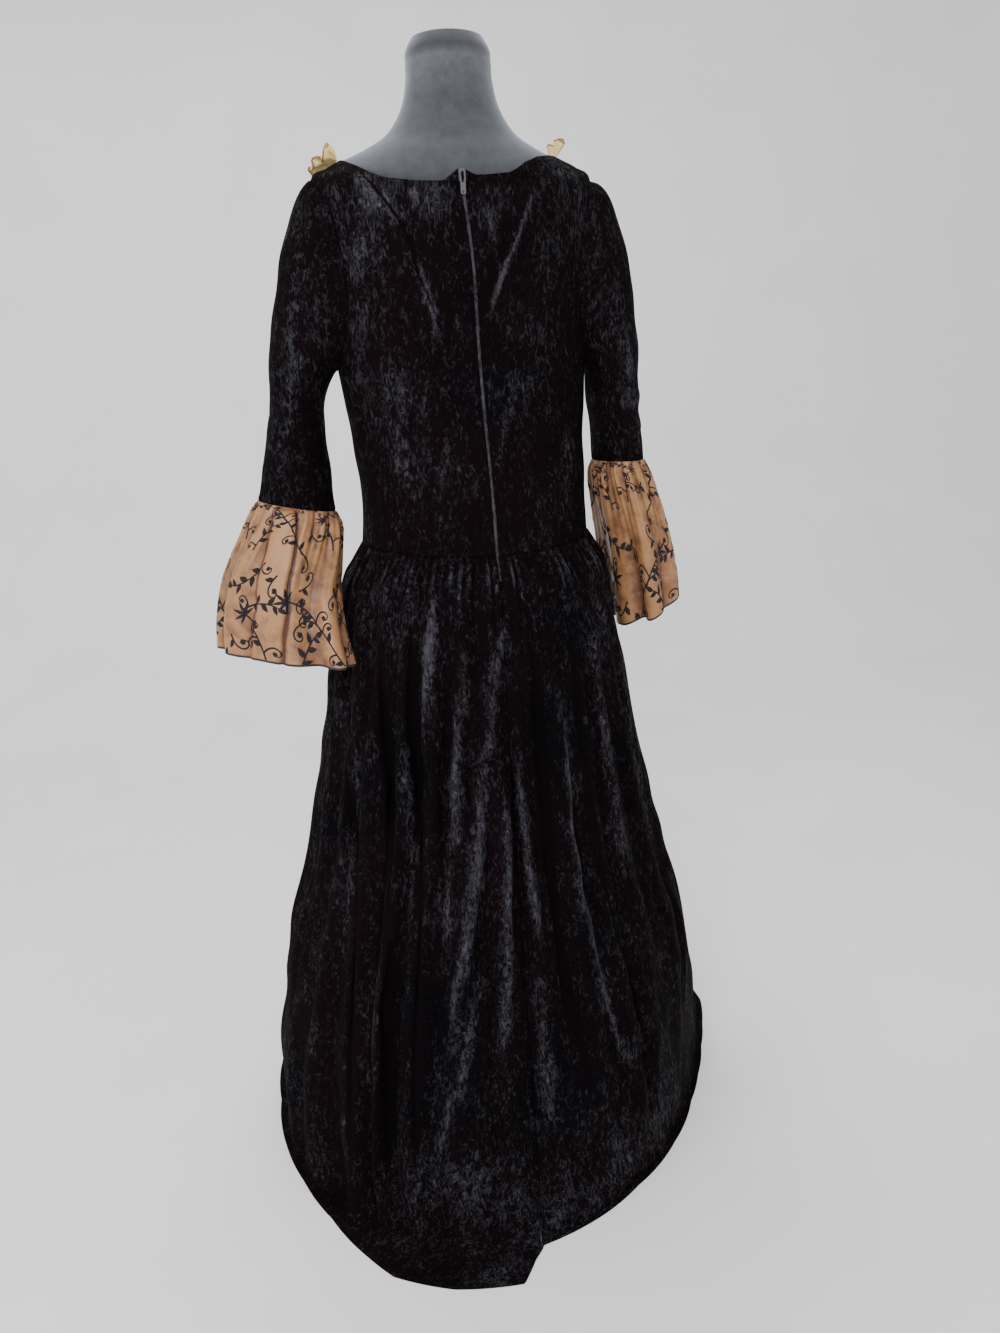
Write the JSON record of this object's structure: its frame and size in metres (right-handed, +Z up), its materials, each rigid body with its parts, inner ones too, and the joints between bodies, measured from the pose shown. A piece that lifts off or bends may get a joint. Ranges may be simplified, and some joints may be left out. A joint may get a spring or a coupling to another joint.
{
  "type": "victorian-style costume dress on a dress form",
  "caption": "Long crushed-velvet costume dress with a gathered skirt, short train and bell cuffs, zipped at the back, worn by a limbless dress form on a round stand.",
  "frame": {"origin": "centre of the underside of the stand's round base, on the floor", "axes": "+Z up; the wearer would face -Y, so the zip is on the +Y side; +X is towards the wearer's left"},
  "size_m": [0.8069, 0.7831, 1.598],
  "materials": {
    "velvet": "black crushed velvet with bluish-grey streaks where the pile is pressed",
    "flocked_satin": "bronze-gold satin with raised black flock scrolls and small flowers",
    "gold_ruffle": "sheer metallic gold ribbon, looped and gathered",
    "form_cover": "dark slate-grey stretch jersey, smooth, a little dusty",
    "stand_metal": "black powder coat",
    "zip_metal": "bright nickel plate"
  },
  "bodies": {
    "dress_and_stand": {"dress_form": "form_cover", "stand_pole": "stand_metal", "stand_base": "stand_metal", "bodice_front": "velvet", "bodice_back_left": "velvet", "bodice_back_right": "velvet", "sleeve_left": "velvet", "sleeve_right": "velvet", "cuff_left": "flocked_satin", "cuff_right": "flocked_satin", "skirt_back_left": "velvet", "skirt_front_left": "velvet", "skirt_front_right": "velvet", "skirt_back_right": "velvet", "neck_ruffle": "gold_ruffle", "zip_slider": "zip_metal"},
    "zip_pull": {"zip_pull_tab": "zip_metal"}
  },
  "joints": [
    {"name": "zip_tab_swing", "type": "hinge", "parent": "dress_and_stand", "child": "zip_pull", "pos_m": [0.0103, 0.10542, 1.41391], "axis": [1, 0, 0.005], "range_deg": [0, 140]}
  ]
}
